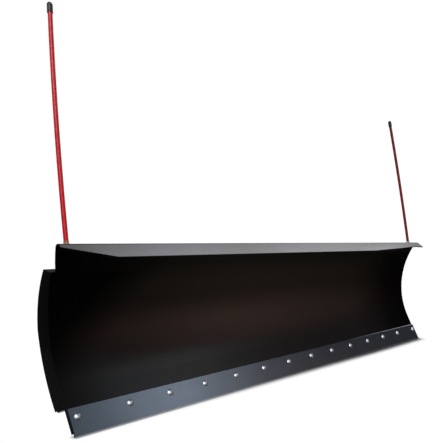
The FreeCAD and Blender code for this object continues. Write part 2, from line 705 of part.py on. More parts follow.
clip = hairpin(pin_rad)
clips = []
for side, sign in SIDES:
    outward = (sign, 0, 0)
    head_at = (sign * pin_start,) + hinge
    pin = doc.addObject("Part::MultiFuse", side + "_pin_solid")
    pin.Shapes = [
        cyl(side + "_pin_shank", pin_rad, pin_long, head_at, outward, "hinge_pin_shank"),
        cyl(side + "_pin_head", 12.5, 4.0, head_at, outward, "hinge_pin_head")]
    hole = cyl(side + "_pin_hole", cotter_rad + 0.3, 40.0,
               (sign * cotter_x, hinge_y, hinge_z - 20), Z_AXIS, "hinge_pin_cross_hole")
    keep(cut(side + "_hinge_pin_cut", pin, hole), side + "_hinge_pin")
    clips.append(place(clip, (sign * cotter_x,) + hinge, outward, Z_AXIS))
keep_shape("hinge_pin_cotters", clips)

# ---------------------------------------------------------------- skid shoes
shoe_x = dim("shoe_from_middle", 417.3)
shoe_y = dim("shoe_back", 115.0)
socket_low = dim("socket_low_up", 70.0)
socket_long = dim("socket_long", 70.0)
shaft_rad = dim("shoe_shaft_radius", 10.0)
roll_rad = dim("roll_pin_radius", 3.0)
roll_half = dim("roll_pin_half_length", 14.0)
roll_up = dim("roll_pin_up", 167.0)
# half section of the dished foot: (radius, Z)
foot_bore = shaft_rad + 0.03
foot_points = [(0.0, 0.0), (26.0, 0.0), (52.0, 14.0), (47.5, 19.0), (28.0, 8.0),
               (17.5, 12.0), (17.5, 30.0), (foot_bore, 30.0), (foot_bore, 9.0), (0.0, 9.0)]
foot_arcs = {1: circle_centre((26.0, 0.0), (42.0, 5.2), (52.0, 14.0)),
             3: circle_centre((47.5, 19.0), (38.0, 11.6), (28.0, 8.0))}
# bottoms of the spacing washers: four below the socket, two above
washer_ups = (30.2, 40.1, 50.0, 59.9, 140.4, 150.3)
shoe_washer = washer(15.0, 9.6, shaft_rad + 0.3)
roll_pin = Part.makeCylinder(roll_rad, 2 * roll_half, Vector(0, 0, -roll_half)).cut(
    Part.makeCylinder(roll_rad - 1.0, 40.0, Vector(0, 0, -20)))
roll_pin = roll_pin.cut(Part.makeBox(5.0, 0.8, 40.0, Vector(0, -0.4, -20)))


def shoe_foot(side, x):
    body = doc.addObject("PartDesign::Body", "body_%s_shoe_foot" % side)
    sketch = new_sketch(body, side + "_foot_section", "XZ_Plane", 0.0)
    loop(sketch, foot_points, foot_arcs, "foot")
    turned = body.newObject("PartDesign::Revolution", side + "_foot_turned")
    turned.Profile = sketch
    turned.ReferenceAxis = (sketch, ["V_Axis"])
    turned.Angle = 360.0
    body.Placement = FreeCAD.Placement(Vector(x, shoe_y, 0), FreeCAD.Rotation())
    keep(body, side + "_shoe_foot")


for side, sign in SIDES:
    x = sign * shoe_x
    outer = cyl(side + "_socket_out", 15.0, socket_long, (x, shoe_y, socket_low), Z_AXIS,
                "socket_out")
    bore = cyl(side + "_socket_in", shaft_rad + 0.08, socket_long + 20,
               (x, shoe_y, socket_low - 10), Z_AXIS, "socket_in")
    keep(cut(side + "_socket_cut", outer, bore), side + "_shoe_socket")
    shoe_foot(side, x)
    shaft = cyl(side + "_shaft_bar", shaft_rad, 171.0, (x, shoe_y, 9.05), Z_AXIS,
                "shaft_bar")
    hole = cyl(side + "_shaft_hole", roll_rad + 0.04, 40.0, (x, shoe_y - 20, roll_up),
               Y_AXIS, "shaft_cross_hole")
    keep(cut(side + "_shaft_cut", shaft, hole), side + "_shoe_shaft")
    keep_shape(side + "_shoe_washers",
               [shoe_washer.translated(Vector(x, shoe_y, z)) for z in washer_ups])
    keep_shape(side + "_shoe_roll_pin", place(roll_pin, (x, shoe_y, roll_up), Y_AXIS))

# ---------------------------------------------------------------- blade markers
marker_x = dim("marker_from_middle", 878.5)
marker_foot = (64.2, 463.0)
# rise of the rod's chord: toward the middle, back, up
lean_in, lean_back, lean_up = 40.0, 104.0, 567.0
rod_rad = dim("marker_rod_radius", 6.0)
cap_rad = dim("marker_cap_radius", 7.3)
cap_len = dim("marker_cap_long", 26.0)
stud_rad = dim("marker_stud_radius", 3.95)
bracket_wide = dim("marker_bracket_wide", 30.0)
gusset_thick = dim("marker_gusset_thick", 3.0)
tab_thick = dim("marker_tab_thick", 3.0)

# bracket: a tab square to the rod's lean, reaching back from the moldboard's rear face
lean_size = math.sqrt(lean_in ** 2 + lean_back ** 2 + lean_up ** 2)
lean_flat = math.hypot(lean_back, lean_up)
tab_normal = (lean_back / lean_flat, lean_up / lean_flat)
tab_run = (tab_normal[1], -tab_normal[0])
tab_top = step(marker_foot, tab_normal, -9.6)
seat_arc = arc_front + sheet_thick + 0.35
seat_at = on_arc(seat_arc, 430.0)
# downward along the rear face at the seat
seat_run = ((seat_at[1] - arc_centre[1]) / seat_arc, -(seat_at[0] - arc_centre[0]) / seat_arc)
tab_back_top = step(tab_top, tab_run, 16)
tab_back_low = step(tab_back_top, tab_normal, -tab_thick)
tab_front_top = meet(seat_at, seat_run, tab_top, tab_run)
tab_front_low = meet(seat_at, seat_run, step(tab_top, tab_normal, -tab_thick), tab_run)
tab_points = [tab_front_top, tab_back_top, tab_back_low, tab_front_low]
gusset_points = [tab_front_low, tab_back_low,
                 (tab_back_low[0] - 1.2, tab_back_low[1] - 5.0),
                 step(seat_at, seat_run, 19)]

m8_nut = hex_nut(13.0, 6.6, 9.2, stud_rad + 0.06)
m8_washer = washer(8.5, 1.6, stud_rad + 0.2)
cap_straight = cap_len - cap_rad
cap = Part.makeCylinder(cap_rad, cap_straight).fuse(
    Part.makeSphere(cap_rad, Vector(0, 0, cap_straight))).removeSplitter().cut(
    Part.makeCylinder(rod_rad + 0.1, 16.0, Vector(0, 0, -2)))


def marker_bracket(side, sign, hole):
    bracket = plate(side + "_marker_bracket_stock", "YZ_Plane",
                    sign * marker_x - bracket_wide / 2, bracket_wide, tab_points, {},
                    "mkbracket")
    for k, x in enumerate((-bracket_wide / 2, bracket_wide / 2 - gusset_thick)):
        outline = new_sketch(bracket, "%s_gusset_%d" % (side, k), "YZ_Plane",
                             sign * marker_x + x)
        loop(outline, gusset_points, {}, "mkgusset")
        extrude(bracket, "Pad", "%s_gusset_pad_%d" % (side, k), outline, gusset_thick,
                "marker_gusset_thick")
    keep(cut(side + "_bracket_cut", bracket, hole), side + "_marker_bracket")


def marker(side, sign, rod_len, rod_bow):
    """One marker: a rod bowed outward, with its bracket, stud, nuts and cap."""
    chord = Vector(-sign * lean_in / lean_size, lean_back / lean_size, lean_up / lean_size)
    sideways = Vector(sign, 0, 0) - chord * (Vector(sign, 0, 0).dot(chord))
    sideways.normalize()
    bow_radius = rod_len ** 2 / (8 * rod_bow) + rod_bow / 2
    half_turn = math.asin(rod_len / 2 / bow_radius)
    foot_dir = chord * math.cos(half_turn) + sideways * math.sin(half_turn)
    tip_dir = chord * math.cos(half_turn) - sideways * math.sin(half_turn)
    foot = Vector(sign * marker_x, *marker_foot)
    tip = foot + chord * rod_len

    hole = cyl(side + "_bracket_hole", 4.6, 30.0, foot - foot_dir * 26.0, foot_dir,
               "bracket_hole")
    marker_bracket(side, sign, hole)
    keep(cyl(side + "_stud_bar", stud_rad, 42.0, foot - foot_dir * 24.0, foot_dir,
             "stud_bar"), side + "_marker_stud")

    middle = foot + chord * (rod_len / 2) + sideways * rod_bow
    path = Part.Wire([Part.Arc(foot, middle, tip).toShape()])
    profile = Part.Wire([Part.Circle(foot, foot_dir, rod_rad).toShape()])
    rod = feature(side + "_rod_bar", path.makePipeShell([profile], True, False))
    bore = cyl(side + "_rod_bore", stud_rad + 0.1, 20.0, foot - foot_dir * 1.5, foot_dir,
               "rod_bore")
    keep(cut(side + "_rod_cut", rod, bore), side + "_marker_rod")

    keep_shape(side + "_marker_cap", place(cap, tip - tip_dir * 13.9, tip_dir))
    # a nut and a washer on each face of the tab, at distances below the rod's foot
    keep_shape(side + "_marker_nuts", [
        place(shape, foot - foot_dir * below, foot_dir)
        for shape, below in ((m8_nut, 6.75), (m8_washer, 8.5),
                             (m8_nut, 21.9), (m8_washer, 15.1))])


marker("left", -1, dim("left_marker_rod_long", 566.0), dim("left_marker_rod_bow", 4.0))
marker("right", 1, dim("right_marker_rod_long", 552.0), dim("right_marker_rod_bow", 6.0))

# ---------------------------------------------------------------- move, check and export
doc.recompute()
king_mid = dim("kingpin_bore_middle_up", (deck_z + ear_low) / 2)
to_kingpin = FreeCAD.Placement(Vector(0, -king_y, -king_mid), FreeCAD.Rotation())
for obj in exports:
    obj.Placement = to_kingpin.multiply(obj.Placement)
doc.recompute()

bad = ["%s state %s" % (obj.Name, obj.State) for obj in doc.Objects
       if "Invalid" in obj.State or "Error" in obj.State]
for obj in exports:
    shape = obj.Shape
    if shape.isNull() or not shape.isValid() or not shape.Solids:
        bad.append("%s shape" % obj.Label)
if bad:
    raise RuntimeError("; ".join(bad))
for obj in exports:
    obj.Shape.exportStep("parts/%s.step" % obj.Label)
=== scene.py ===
"""Trip-spring blade: a curved sheet with wear bar, ribs, shoes and markers on a pivoting frame.

Sizes are drawing millimetres: x runs along the blade (left is negative), y runs back from the
bar's front edge, z rises from the ground. place() turns them into the metric row frame, whose
origin lies on the kingpin axis, midway between the weld levels on the frame plates.
"""
import bpy
import bmesh
import json
import math
import random
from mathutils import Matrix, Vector


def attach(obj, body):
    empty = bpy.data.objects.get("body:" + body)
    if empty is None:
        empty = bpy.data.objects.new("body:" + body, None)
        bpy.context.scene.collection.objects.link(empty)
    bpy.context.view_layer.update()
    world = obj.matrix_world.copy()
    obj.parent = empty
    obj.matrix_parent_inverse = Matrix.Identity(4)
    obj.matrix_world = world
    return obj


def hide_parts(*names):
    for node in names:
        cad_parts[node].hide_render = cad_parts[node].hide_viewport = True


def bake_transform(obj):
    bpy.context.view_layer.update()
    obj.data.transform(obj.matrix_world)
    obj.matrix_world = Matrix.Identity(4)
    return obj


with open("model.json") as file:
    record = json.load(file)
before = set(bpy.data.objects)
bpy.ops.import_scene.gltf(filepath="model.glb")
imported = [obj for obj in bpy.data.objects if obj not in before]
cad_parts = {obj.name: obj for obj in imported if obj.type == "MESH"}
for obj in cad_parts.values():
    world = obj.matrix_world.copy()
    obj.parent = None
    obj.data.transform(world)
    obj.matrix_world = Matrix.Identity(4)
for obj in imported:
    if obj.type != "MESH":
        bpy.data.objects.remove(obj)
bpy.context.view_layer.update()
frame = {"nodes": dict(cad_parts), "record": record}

random.seed(7)
nodes = frame["nodes"]
SCENE = bpy.context.scene

# ------------------------------------------------------------------ driving dimensions (mm)
KINGPIN_Y, ORIGIN_Z = 262.0, 102.9

# blade: the bar and the foot of the sheet lean back by the rake, then the sheet curves forward
RAKE = math.radians(28.3)
RAKE_SIN, RAKE_COS = math.sin(RAKE), math.cos(RAKE)
BAR_THICK, SHEET_THICK = 6.35, 3.0
ARC_RADIUS, ARC_START = 335.2, 118.4          # ARC_START is measured up the rake
HALF_LENGTH = 914.5

# ribs: centre x, thickness, top of the stitching
END_RIB_THICK = 4.0
RIBS = [(-650, 4, 386), (650, 4, 386), (-400, 4, 386), (400, 4, 386),
        (-205, 6, 380), (-165, 6, 380), (165, 6, 380), (205, 6, 380)]
HINGE_RIBS = RIBS[4:]

END_BOLT_X, BOLT_PITCH, MIDDLE_BOLTS = 890.5, 134.06, 12
SMALL_THREAD = {"radius": 3.75, "pitch": 1.35}
LARGE_THREAD = {"radius": 4.65, "pitch": 1.6}

# trip springs: stations along the slant line, which leans forward as it rises
SPRING_X, SPRING_BACK = 95.0, 28.0
ANCHOR_AT, ANCHOR_RADIUS = -120.0, 4.9
EYE_AT, EYE_RADIUS, EYE_RIM = 46.0, 13.0, 4.5
COIL_RADIUS, WIRE_RADIUS, LEG, HOOK_GAP = 14.5, 2.5, 8.0, 0.25
COIL_TOP = EYE_AT - (EYE_RADIUS - EYE_RIM - WIRE_RADIUS - HOOK_GAP) - COIL_RADIUS - LEG
COIL_BOTTOM = ANCHOR_AT - ANCHOR_RADIUS - WIRE_RADIUS - HOOK_GAP + COIL_RADIUS + LEG
COIL_PITCH = (COIL_TOP - COIL_BOTTOM) / 20.0

X_AXIS = Vector((1, 0, 0))
SLANT = Vector((0, -0.451, 0.8925)).normalized()
SLANT_BACK = Vector((0, SLANT.z, -SLANT.y))
RAKE_BACK = Vector((0, RAKE_COS, -RAKE_SIN))


def place(x, y, z):
    """Drawing millimetres to the row frame in metres."""
    return Vector((x / 1000.0, (y - KINGPIN_Y) / 1000.0, (z - ORIGIN_Z) / 1000.0))


def on_rake(x, up, back):
    """Drawing point measured up the rake and square to it towards the back."""
    return (x, up * RAKE_SIN + back * RAKE_COS,
            BAR_THICK * RAKE_SIN + up * RAKE_COS - back * RAKE_SIN)


def on_slant(x, up, back):
    """Drawing point measured up the slant line and square to it towards the back."""
    return Vector((x, 165.0, 250.0)) + SLANT * up + SLANT_BACK * back


GROUND = place(0, 0, 0).z
_, arc_y, arc_z = on_rake(0, ARC_START, BAR_THICK)
ARC_CENTRE_Y, ARC_CENTRE_Z = arc_y - ARC_RADIUS * RAKE_COS, arc_z + ARC_RADIUS * RAKE_SIN
ANCHOR_Y = on_slant(0, ANCHOR_AT, SPRING_BACK).y


# ------------------------------------------------------------------ node helpers
def is_socket(value):
    return isinstance(value, bpy.types.NodeSocket)


class Nodes:
    """Builds nodes in one tree; inputs may be sockets or plain values."""

    def __init__(self, tree, coordinates):
        self.tree = tree
        self.coords = self.node("ShaderNodeTexCoord").outputs[coordinates]

    def node(self, kind, **settings):
        made = self.tree.nodes.new(kind)
        for key, value in settings.items():
            setattr(made, key, value)
        return made

    def put(self, socket, value):
        if is_socket(value):
            self.tree.links.new(value, socket)
        else:
            socket.default_value = value

    def fill(self, node, values):
        """Set inputs by name or index; the first output is returned."""
        for key, value in values.items():
            self.put(node.inputs[key], value)
        return node.outputs[0]

    def calc(self, operation, *values, clamp=False):
        made = self.node("ShaderNodeMath", operation=operation, use_clamp=clamp)
        return self.fill(made, dict(enumerate(values)))

    def vector(self, operation, values):
        return self.fill(self.node("ShaderNodeVectorMath", operation=operation), values)

    def mix(self, factor, first, second):
        made = self.node("ShaderNodeMix", data_type="RGBA")
        self.put(made.inputs["Factor"], factor)
        for index, color in ((6, first), (7, second)):      # the two colour inputs
            self.put(made.inputs[index], color if is_socket(color) else (*color, 1.0))
        return made.outputs[2]


class Material(Nodes):
    def __init__(self, name):
        self.data = bpy.data.materials.new(name)
        self.data.use_nodes = True
        super().__init__(self.data.node_tree, "Object")

    def noise(self, scale, detail=4.0, rough=0.6, stretch=None):
        made = self.node("ShaderNodeTexNoise")
        coords = self.coords
        if stretch:
            mapping = self.node("ShaderNodeMapping")
            coords = self.fill(mapping, {"Scale": stretch, "Vector": coords})
        return self.fill(made, {"Scale": scale, "Detail": detail, "Roughness": rough,
                                "Vector": coords})

    def cells(self, scale):
        made = self.node("ShaderNodeTexVoronoi")
        return self.fill(made, {"Scale": scale, "Vector": self.coords})

    def ramp(self, factor, stops):
        """Stops are (position, colour)."""
        made = self.node("ShaderNodeValToRGB")
        elements = made.color_ramp.elements
        while len(elements) < len(stops):
            elements.new(0.5)
        for element, (position, color) in zip(elements, stops):
            element.position = position
            element.color = (*color, 1.0)
        return self.fill(made, {"Fac": factor})

    def remap(self, value, span=(0.3, 0.7), to=(0.0, 1.0)):
        made = self.node("ShaderNodeMapRange")
        return self.fill(made, {"From Min": span[0], "From Max": span[1],
                                "To Min": to[0], "To Max": to[1], "Value": value})

    def weigh(self, *terms):
        """Weighted sum of (value, weight) terms."""
        (value, weight), *rest = terms
        scaled = self.calc("MULTIPLY", value, weight)
        return self.calc("ADD", scaled, self.weigh(*rest)) if rest else scaled

    def edge_wear_and_highlight(self, color, edge_tone, amount, radius, sharp=0.9, flat=0.995):
        """Mix a lighter colour into edges, broken up by noise: wear, and on the bar also a painted
        highlight.

        sharp and flat are the normal agreements that give full and no edge colour.
        """
        bevel = self.node("ShaderNodeBevel", samples=4)
        bevel.inputs["Radius"].default_value = radius
        geometry = self.node("ShaderNodeNewGeometry")
        dot = self.node("ShaderNodeVectorMath", operation="DOT_PRODUCT")
        self.fill(dot, {0: bevel.outputs["Normal"], 1: geometry.outputs["Normal"]})
        edge = self.remap(dot.outputs["Value"], span=(flat, sharp))
        broken = self.remap(self.noise(scale=160, detail=5, rough=0.65), span=(0.38, 0.62))
        edge_mask = self.calc("MULTIPLY", edge, broken, clamp=True)
        return self.mix(self.calc("MULTIPLY", edge_mask, amount), color, edge_tone)

    def along(self, axis):
        separate = self.node("ShaderNodeSeparateXYZ")
        self.put(separate.inputs[0], self.coords)
        return separate.outputs[axis]

    def bump(self, height, strength, depth=0.0003, under=None):
        values = {"Strength": strength, "Distance": depth, "Height": height}
        if under is not None:
            values["Normal"] = under
        return self.fill(self.node("ShaderNodeBump"), values)

    def surface(self, color, roughness, normal, metallic=0.0, specular=0.5):
        self.fill(self.tree.nodes["Principled BSDF"], {
            "Base Color": color, "Roughness": roughness, "Normal": normal,
            "Metallic": metallic, "Specular IOR Level": specular})
        return self.data


# ------------------------------------------------------------------ materials
def black_coat():
    """Gloss coat with worn edges and dust; painted shade makes it darker towards the blade's ends,
    where it is also duller.
    """
    mat = Material("black_coat")
    clouds = mat.noise(scale=3.2)
    fine = mat.noise(scale=85)
    color = mat.ramp(mat.weigh((clouds, 0.7), (fine, 0.3)), [
        (0.3, (0.0036, 0.0032, 0.0031)),
        (0.55, (0.0046, 0.0041, 0.0039)),
        (0.8, (0.0060, 0.0052, 0.0049))])
    color = mat.edge_wear_and_highlight(color, edge_tone=(0.05, 0.05, 0.051), amount=0.5, radius=0.0010)
    dust = mat.remap(mat.noise(scale=420, detail=3, rough=0.7), span=(0.70, 0.82), to=(0.0, 0.2))
    color = mat.mix(dust, color, (0.022, 0.021, 0.020))

    # x less z puts the left end's boundary on a diagonal
    x, z = mat.along("X"), mat.along("Z")
    lip = mat.remap(z, span=(0.272, 0.288))
    diagonal = mat.calc("SUBTRACT", x, z)
    # painted shade: the base colour goes almost black towards both ends of the blade, along the
    # diagonal at the left end
    ends = mat.calc("MAXIMUM", mat.remap(diagonal, span=(-1.02, -0.88), to=(0.85, 0.0)),
                    mat.remap(x, span=(0.50, 0.78), to=(0.0, 0.85)))
    color = mat.mix(ends, color, (0.0006, 0.0006, 0.0006))
    roughness = mat.remap(mat.noise(scale=6, detail=3, rough=0.5), to=(0.195, 0.235))

    # specular level: left part, right part and the band above the fold
    left_lip = mat.calc("MULTIPLY", lip, mat.remap(x, span=(-0.88, -0.50), to=(0.12, 0.29)))
    left_end = mat.calc("MINIMUM", mat.remap(diagonal, span=(-1.02, -0.86), to=(0.06, 0.29)),
                        mat.remap(x, span=(-0.91, -0.78), to=(0.12, 0.29)))
    left = mat.calc("MAXIMUM", left_lip, left_end)
    right_fade = mat.remap(x, span=(0.60, 0.86), to=(1.0, 0.42))
    right_face = mat.calc("MAXIMUM", mat.remap(z, span=(0.300, 0.316)),
                          mat.remap(x, span=(0.44, 0.74), to=(1.0, 0.22)))
    right = mat.calc("MULTIPLY", right_fade, right_face)
    fold = mat.remap(z, span=(0.328, 0.345), to=(1.0, 0.76))
    specular = mat.calc("MULTIPLY", fold, mat.calc("MULTIPLY", left, right))

    peel = mat.bump(mat.noise(scale=520, detail=2, rough=0.5), strength=0.010, depth=0.0002)
    peel = mat.bump(mat.noise(scale=24, detail=2, rough=0.5), strength=0.006, depth=0.001,
                    under=peel)
    return mat.surface(color, roughness, peel, specular=specular)


def bar_steel():
    """Blue-grey steel, its grain drawn out along the bar, with edges lightened partly by wear and
    partly by a painted highlight.
    """
    mat = Material("bar_steel")
    grain = mat.noise(scale=260, detail=5, stretch=(0.04, 1.0, 1.0))
    clouds = mat.noise(scale=4.0)
    blots = mat.noise(scale=26, detail=5, rough=0.7)
    color = mat.ramp(mat.weigh((clouds, 0.45), (grain, 0.25), (blots, 0.3)), [
        (0.3, (0.134, 0.160, 0.192)), (0.52, (0.155, 0.184, 0.218)),
        (0.75, (0.182, 0.212, 0.248))])
    # the light edge colour here is partly wear, partly a painted highlight along the bar's edges
    color = mat.edge_wear_and_highlight(color, edge_tone=(0.55, 0.55, 0.56), amount=0.85, radius=0.0014,
                           sharp=0.88, flat=0.99)
    roughness = mat.remap(mat.calc("ADD", grain, blots), span=(0.7, 1.3), to=(0.16, 0.22))
    normal = mat.bump(grain, strength=0.02)
    normal = mat.bump(blots, strength=0.01, depth=0.001, under=normal)
    return mat.surface(color, roughness, normal, metallic=0.92, specular=0.4)


def zinc_steel():
    mat = Material("zinc_steel")
    spangle = mat.cells(scale=700)
    mottle = mat.noise(scale=180)
    color = mat.ramp(mat.weigh((spangle, 0.5), (mottle, 0.6)), [
        (0.2, (0.66, 0.69, 0.74)), (0.6, (0.82, 0.85, 0.90)), (1.0, (0.92, 0.94, 0.97))])
    color = mat.edge_wear_and_highlight(color, edge_tone=(0.95, 0.95, 0.96), amount=0.5, radius=0.0006)
    return mat.surface(color, mat.remap(mottle, to=(0.34, 0.48)),
                       mat.bump(mottle, strength=0.12), metallic=1.0)


def yellow_zinc():
    """Iridescent plating on the left, fading to a worn grey on the right."""
    mat = Material("yellow_zinc")
    mottle = mat.noise(scale=140)
    tint = mat.noise(scale=40, detail=3)
    color = mat.ramp(tint, [
        (0.3, (0.66, 0.40, 0.20)), (0.5, (0.80, 0.54, 0.34)), (0.7, (0.72, 0.58, 0.42))])
    worn = mat.ramp(mottle, [(0.3, (0.42, 0.41, 0.44)), (0.7, (0.55, 0.54, 0.58))])
    color = mat.mix(mat.remap(mat.along("X"), span=(-0.2, 0.2)), color, worn)
    return mat.surface(color, mat.remap(mottle, to=(0.26, 0.42)),
                       mat.bump(mottle, strength=0.15), metallic=1.0)


def spring_steel():
    mat = Material("spring_steel")
    mottle = mat.noise(scale=120, detail=5, rough=0.65)
    speckle = mat.noise(scale=600, detail=3)
    color = mat.ramp(mat.weigh((mottle, 0.6), (speckle, 0.4)), [
        (0.3, (0.20, 0.21, 0.225)), (0.6, (0.36, 0.37, 0.39)), (0.85, (0.52, 0.53, 0.55))])
    return mat.surface(color, mat.remap(mottle, to=(0.28, 0.46)),
                       mat.bump(speckle, strength=0.15), metallic=1.0)


def bronze():
    mat = Material("bronze")
    mottle = mat.noise(scale=90, detail=5)
    color = mat.ramp(mottle, [
        (0.3, (0.30, 0.17, 0.06)), (0.6, (0.50, 0.31, 0.12)), (0.85, (0.62, 0.42, 0.2))])
    return mat.surface(color, mat.remap(mottle, to=(0.3, 0.45)),
                       mat.bump(mottle, strength=0.1), metallic=1.0)


def red_plastic():
    """Upright-streaked red with pale scuffs; painted shade makes it darker on the right."""
    mat = Material("red_plastic")
    streaks = mat.noise(scale=60, stretch=(1, 1, 0.15))
    fine = mat.noise(scale=500, detail=3)
    color = mat.ramp(streaks, [
        (0.3, (0.70, 0.0025, 0.008)), (0.6, (0.80, 0.004, 0.012)), (0.85, (0.86, 0.006, 0.018))])
    # painted shade: the rod on the right gets this darker red
    dark = mat.ramp(streaks, [(0.3, (0.20, 0.003, 0.006)), (0.7, (0.30, 0.006, 0.010))])
    color = mat.mix(mat.remap(mat.along("X"), span=(0.0, 0.5)), color, dark)
    scuff = mat.remap(mat.noise(scale=240, rough=0.7, stretch=(1, 1, 0.3)),
                      span=(0.68, 0.78), to=(0.0, 0.25))
    color = mat.mix(scuff, color, (0.55, 0.05, 0.05))
    ridges = mat.noise(scale=300, detail=3, rough=0.5, stretch=(1, 1, 0.1))
    return mat.surface(color, mat.remap(fine, to=(0.16, 0.24)),
                       mat.bump(ridges, strength=0.04), specular=0.42)


def black_vinyl():
    mat = Material("black_vinyl")
    fine = mat.noise(scale=900, detail=3)
    mottle = mat.noise(scale=50)
    color = mat.ramp(mottle, [(0.3, (0.010, 0.010, 0.011)), (0.7, (0.020, 0.020, 0.021))])
    return mat.surface(color, mat.remap(mottle, to=(0.26, 0.36)), mat.bump(fine, strength=0.08))


def cast_shoe():
    """Pitted dark casting, ground bright where it meets the floor."""
    mat = Material("cast_shoe")
    mottle = mat.noise(scale=70, detail=6, rough=0.7)
    pits = mat.cells(scale=420)
    z = mat.along("Z")
    color = mat.ramp(mottle, [
        (0.3, (0.022, 0.022, 0.023)), (0.6, (0.045, 0.044, 0.044)),
        (0.85, (0.075, 0.072, 0.070))])
    ragged_z = mat.calc("ADD", z, mat.calc("MULTIPLY", mottle, 0.004))
    worn = mat.remap(ragged_z, span=(GROUND + 0.0035, GROUND + 0.0075), to=(1.0, 0.0))
    color = mat.mix(worn, color, (0.40, 0.40, 0.41))
    metallic = mat.remap(worn, span=(0, 1), to=(0.25, 1.0))
    roughness = mat.remap(mottle, to=(0.5, 0.72))
    normal = mat.bump(mottle, strength=0.5, depth=0.0010)
    normal = mat.bump(pits, strength=0.35, depth=0.0008, under=normal)
    return mat.surface(color, roughness, normal, metallic=metallic)


MATERIALS = {build.__name__: build() for build in (
    black_coat, bar_steel, zinc_steel, yellow_zinc, spring_steel, bronze, red_plastic,
    black_vinyl, cast_shoe)}

slots = {part["node"]: part["material_slot"] for part in frame["record"]["subparts"]}
for name, piece in nodes.items():
    piece.data.materials.clear()
    piece.data.materials.append(MATERIALS[slots[name]])


# ------------------------------------------------------------------ mesh helpers
def side_vector(axis):
    """A unit vector square to the axis."""
    ref = X_AXIS if abs(axis.x) < 0.9 else Vector((0, 1, 0))
    return (ref - axis * ref.dot(axis)).normalized()


def tube(points, radius, segments):
    """Capped round wire (vertices, faces); radius is a number or a function of the index."""
    last = len(points) - 1
    verts, faces = [], []
    side = None
    for i, point in enumerate(points):
        tangent = (points[min(i + 1, last)] - points[max(i - 1, 0)]).normalized()
        if side is None:
            side = side_vector(tangent)
        # carried along the wire without twist
        side = (side - tangent * side.dot(tangent)).normalized()
        up = tangent.cross(side)
        size = radius(i) if callable(radius) else radius
        for k in range(segments):
            angle = 2 * math.pi * k / segments
            verts.append(point + side * (size * math.cos(angle)) + up * (size * math.sin(angle)))
    for i in range(last):
        for k in range(segments):
            a, b = i * segments + k, i * segments + (k + 1) % segments
            faces.append((a, b, b + segments, a + segments))
    end = last * segments
    faces.append(tuple(range(segments - 1, -1, -1)))
    faces.append(tuple(range(end, end + segments)))
    return verts, faces


def make(name, parts, slot, body=None):
    """One smooth object from several (vertices, faces) parts, riding on a body if given."""
    verts, faces = [], []
    for part_verts, part_faces in parts:
        start = len(verts)
        verts += part_verts
        faces += [tuple(i + start for i in face) for face in part_faces]
    mesh = bpy.data.meshes.new(name)
    mesh.from_pydata([tuple(v) for v in verts], [], faces)
    mesh.validate()
    mesh.materials.append(MATERIALS[slot])
    made = bpy.data.objects.new(name, mesh)
    SCENE.collection.objects.link(made)
    mesh.shade_smooth()
    if body:
        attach(made, body)
    return made


def relax(points, first, stop, rounds):
    """Round off a corner in a line of points."""
    for _ in range(rounds):
        eased = list(points)
        for i in range(first, stop):
            eased[i] = (points[i - 1] + points[i] * 2 + points[i + 1]) / 4
        points = eased
    return points


def thread(base, axis, length, radius, pitch):
    """Raised helical screw thread, thinning out over half a turn at each end."""
    steps = 18                                      # per turn
    base, axis = Vector(base), axis.normalized()
    side = side_vector(axis)
    up = axis.cross(side)
    count = int(steps * length / pitch)
    points = []
    for i in range(count + 1):
        angle = 2 * math.pi * i / steps
        points.append(place(*(base + axis * (pitch * i / steps)
                              + side * (radius * math.cos(angle))
                              + up * (radius * math.sin(angle)))))
    run_in = steps // 2
    full, thin = 0.42 * pitch / 1000, 0.08 * pitch / 1000
    return tube(points, lambda i: thin + (full - thin) * min(1.0, i / run_in, (count - i) / run_in),
                segments=5)


def bead(start, end, radius, path=None):
    """Rippled weld bead tapered at its ends; path(0..1) bends it along a curve.

    With a path, start and end only set the number of rings.
    """
    step, ripple, taper_rings = 0.85, 3.1, 4.0
    start, end = Vector(start), Vector(end)
    count = max(8, int((end - start).length / step))
    points = [place(*(path(i / count) if path else start.lerp(end, i / count)))
              for i in range(count + 1)]
    phase = random.uniform(0, 6.28)

    def ring(i):
        taper = math.sqrt(max(0.06, min(1.0, min(i, count - i) / taper_rings)))
        wave = abs(math.sin(i * step / ripple * math.pi + phase))
        return radius / 1000 * taper * (0.90 + 0.13 * wave + random.uniform(-0.012, 0.012))

    return tube(points, ring, segments=10)


# ------------------------------------------------------------------ screw threads
bolt_xs = [(i - (MIDDLE_BOLTS - 1) / 2) * BOLT_PITCH for i in range(MIDDLE_BOLTS)]
make("wear_bar_bolt_threads",
     [thread(on_rake(x, 47.0, 22.6), RAKE_BACK, 6.2, **SMALL_THREAD)
      for x in [-END_BOLT_X, *bolt_xs, END_BOLT_X]], "zinc_steel", "blade")
make("eyebolt_threads",
     [thread(on_slant(x, 74.0, SPRING_BACK), SLANT, 69.0, **LARGE_THREAD)
      for x in (-SPRING_X, SPRING_X)], "zinc_steel", "blade")
make("anchor_bolt_threads",
     [thread(on_slant(x + 21.3, ANCHOR_AT, SPRING_BACK), X_AXIS, 9.6, **LARGE_THREAD)
      for x in (-SPRING_X, SPRING_X)], "zinc_steel", "pivot_frame")


def marker_stud(side, rod, bow):
    """Thread below a marker, in line with the foot of its bowed rod; side is -1 or 1."""
    chord = Vector((-side * 40.0, 104.0, 567.0)).normalized()
    outward = (Vector((side, 0, 0)) - chord * chord.x * side).normalized()
    bow_radius = rod ** 2 / (8 * bow) + bow / 2
    lean = math.asin(rod / 2 / bow_radius)
    axis = chord * math.cos(lean) + outward * math.sin(lean)
    foot = Vector((side * 878.5, 64.2, 463.0))
    return thread(foot + axis * -23.6, axis, 22.0, **SMALL_THREAD)


make("marker_stud_threads",
     [marker_stud(-1, rod=566.0, bow=4.0), marker_stud(1, rod=552.0, bow=6.0)],
     "zinc_steel", "blade")


